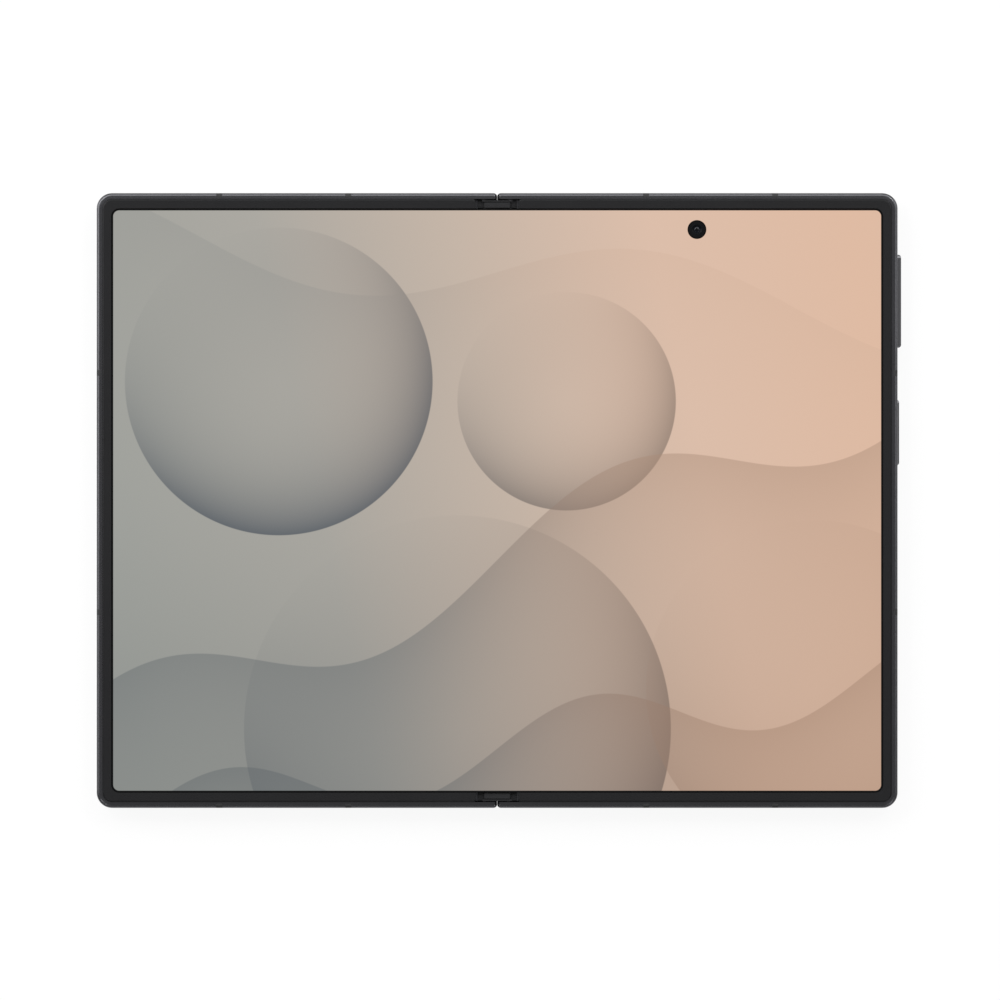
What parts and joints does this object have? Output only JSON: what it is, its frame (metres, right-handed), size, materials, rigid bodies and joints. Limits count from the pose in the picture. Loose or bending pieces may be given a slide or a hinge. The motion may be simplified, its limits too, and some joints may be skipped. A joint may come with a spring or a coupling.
{
  "type": "foldable smartphone",
  "caption": "Book-style foldable phone, opened flat: two metal-framed halves on a geared two-axis hinge, inner display, rear cameras, cover display, keys and card tray.",
  "frame": {"origin": "centre of the bounding box, at the lowest point of the rear camera rings", "axes": "+X to the right as seen on the inner display, +Y up along the fold line, +Z out of the display"},
  "size_m": [0.1622, 0.1238, 0.0063],
  "materials": {
    "frame_metal": "satin anodised graphite",
    "antenna_plastic": "fine matte",
    "bezel_rubber": "soft matte",
    "rear_glass": "frosted",
    "island_metal": "satin",
    "ring_metal": "turned, polished",
    "lens_glass": "coated, clear",
    "black_plastic": "matte",
    "flash_plastic": "ribbed clear",
    "cover_glass": "gloss",
    "panel_off": "gloss",
    "display_main": "gloss, lit picture",
    "display_cover": "gloss, lit picture",
    "display_fold": "gloss, lit picture",
    "backing_metal": "etched",
    "hinge_steel": "machined",
    "spine_metal": "satin anodised",
    "gear_steel": "sintered",
    "screw_steel": "bright",
    "flex_film": "polyimide",
    "key_metal": "satin",
    "board_green": "solder mask",
    "shield_tin": "tinned",
    "battery_foil": "matte foil",
    "coil_copper": "enamelled wire",
    "magnet_nickel": "plated"
  },
  "bodies": {
    "main_half": {"main_frame": "frame_metal", "main_antenna_bands": "antenna_plastic", "main_bezel": "bezel_rubber", "main_rear_glass": "rear_glass", "camera_island": "island_metal", "lens_rings": "ring_metal", "lens_glasses": "lens_glass", "camera_modules": "black_plastic", "flash_lens": "flash_plastic", "main_display_panel": "display_main", "selfie_camera": "black_plastic", "key_pivot_pin": "screw_steel", "main_hinge_brackets": "hinge_steel", "bracket_screws_main": "screw_steel", "key_switches": "flex_film", "usb_c_socket": "shield_tin", "mainboard": "board_green", "board_shields": "shield_tin", "board_screws": "screw_steel", "sub_board": "board_green", "main_battery": "battery_foil", "charging_coil": "coil_copper", "main_speaker": "black_plastic", "vibration_motor": "shield_tin", "closing_magnets_main": "magnet_nickel"},
    "hinge_spine": {"spine_cover": "spine_metal", "hinge_bases": "hinge_steel", "hinge_end_caps": "black_plastic", "gear_pins": "screw_steel", "fold_strip": "display_fold", "fold_backing": "backing_metal", "flex_cables": "flex_film"},
    "cover_half": {"cover_frame": "frame_metal", "cover_antenna_bands": "antenna_plastic", "cover_bezel": "bezel_rubber", "cover_glass": "cover_glass", "cover_display": "panel_off", "cover_camera": "black_plastic", "cover_display_panel": "display_cover", "cover_hinge_brackets": "hinge_steel", "bracket_screws_cover": "screw_steel", "cover_board": "board_green", "cover_battery": "battery_foil", "cover_speaker": "black_plastic", "closing_magnets_cover": "magnet_nickel", "card_reader": "shield_tin"},
    "main_sync_arm_body": {"main_sync_arm": "hinge_steel"},
    "main_idler_gear_body": {"main_idler_gear": "gear_steel"},
    "cover_idler_gear_body": {"cover_idler_gear": "gear_steel"},
    "cover_sync_arm_body": {"cover_sync_arm": "hinge_steel"},
    "volume_key_body": {"volume_key": "key_metal"},
    "side_key_body": {"side_key": "key_metal"},
    "sim_tray_body": {"sim_tray": "key_metal"}
  },
  "joints": [
    {"name": "main_fold", "type": "hinge", "parent": "hinge_spine", "child": "main_half", "pos_m": [0.0015, 0, 0.0049], "axis": [0, -1, 0], "range_deg": [0, 90], "deforming": ["fold_strip", "fold_backing", "flex_cables"]},
    {"name": "cover_fold", "type": "hinge", "parent": "hinge_spine", "child": "cover_half", "pos_m": [-0.0015, 0, 0.0049], "axis": [0, 1, 0], "range_deg": [0, 90]},
    {"name": "main_arm_turn", "type": "hinge", "parent": "hinge_spine", "child": "main_sync_arm_body", "pos_m": [0.0024, 0, 0.0038], "axis": [0, 1, 0], "range_deg": [-90, 0]},
    {"name": "main_idler_turn", "type": "hinge", "parent": "hinge_spine", "child": "main_idler_gear_body", "pos_m": [0.0008, 0, 0.0038], "axis": [0, 1, 0], "range_deg": [0, 90]},
    {"name": "cover_idler_turn", "type": "hinge", "parent": "hinge_spine", "child": "cover_idler_gear_body", "pos_m": [-0.0008, 0, 0.0038], "axis": [0, 1, 0], "range_deg": [-90, 0]},
    {"name": "cover_arm_turn", "type": "hinge", "parent": "hinge_spine", "child": "cover_sync_arm_body", "pos_m": [-0.0024, 0, 0.0038], "axis": [0, 1, 0], "range_deg": [0, 90]},
    {"name": "volume_rock", "type": "hinge", "parent": "main_half", "child": "volume_key_body", "pos_m": [0.0792, 0.0402, 0.0038], "axis": [0, 0, 1], "range_deg": [-1.2, 1.2], "stiffness_Nm_per_rad": 0.4},
    {"name": "side_key_press", "type": "slide", "parent": "main_half", "child": "side_key_body", "axis": [-1, 0, 0], "range_m": [0, 0.00025], "stiffness_N_per_m": 1500},
    {"name": "card_tray_pull", "type": "slide", "parent": "cover_half", "child": "sim_tray_body", "axis": [0, -1, 0], "range_m": [0, 0.0175]}
  ],
  "couplings": [
    {"joint": "cover_fold", "follows": "main_fold", "ratio": 1},
    {"joint": "main_arm_turn", "follows": "main_fold", "ratio": -1},
    {"joint": "main_idler_turn", "follows": "main_fold", "ratio": 1},
    {"joint": "cover_idler_turn", "follows": "main_fold", "ratio": -1},
    {"joint": "cover_arm_turn", "follows": "main_fold", "ratio": 1}
  ]
}
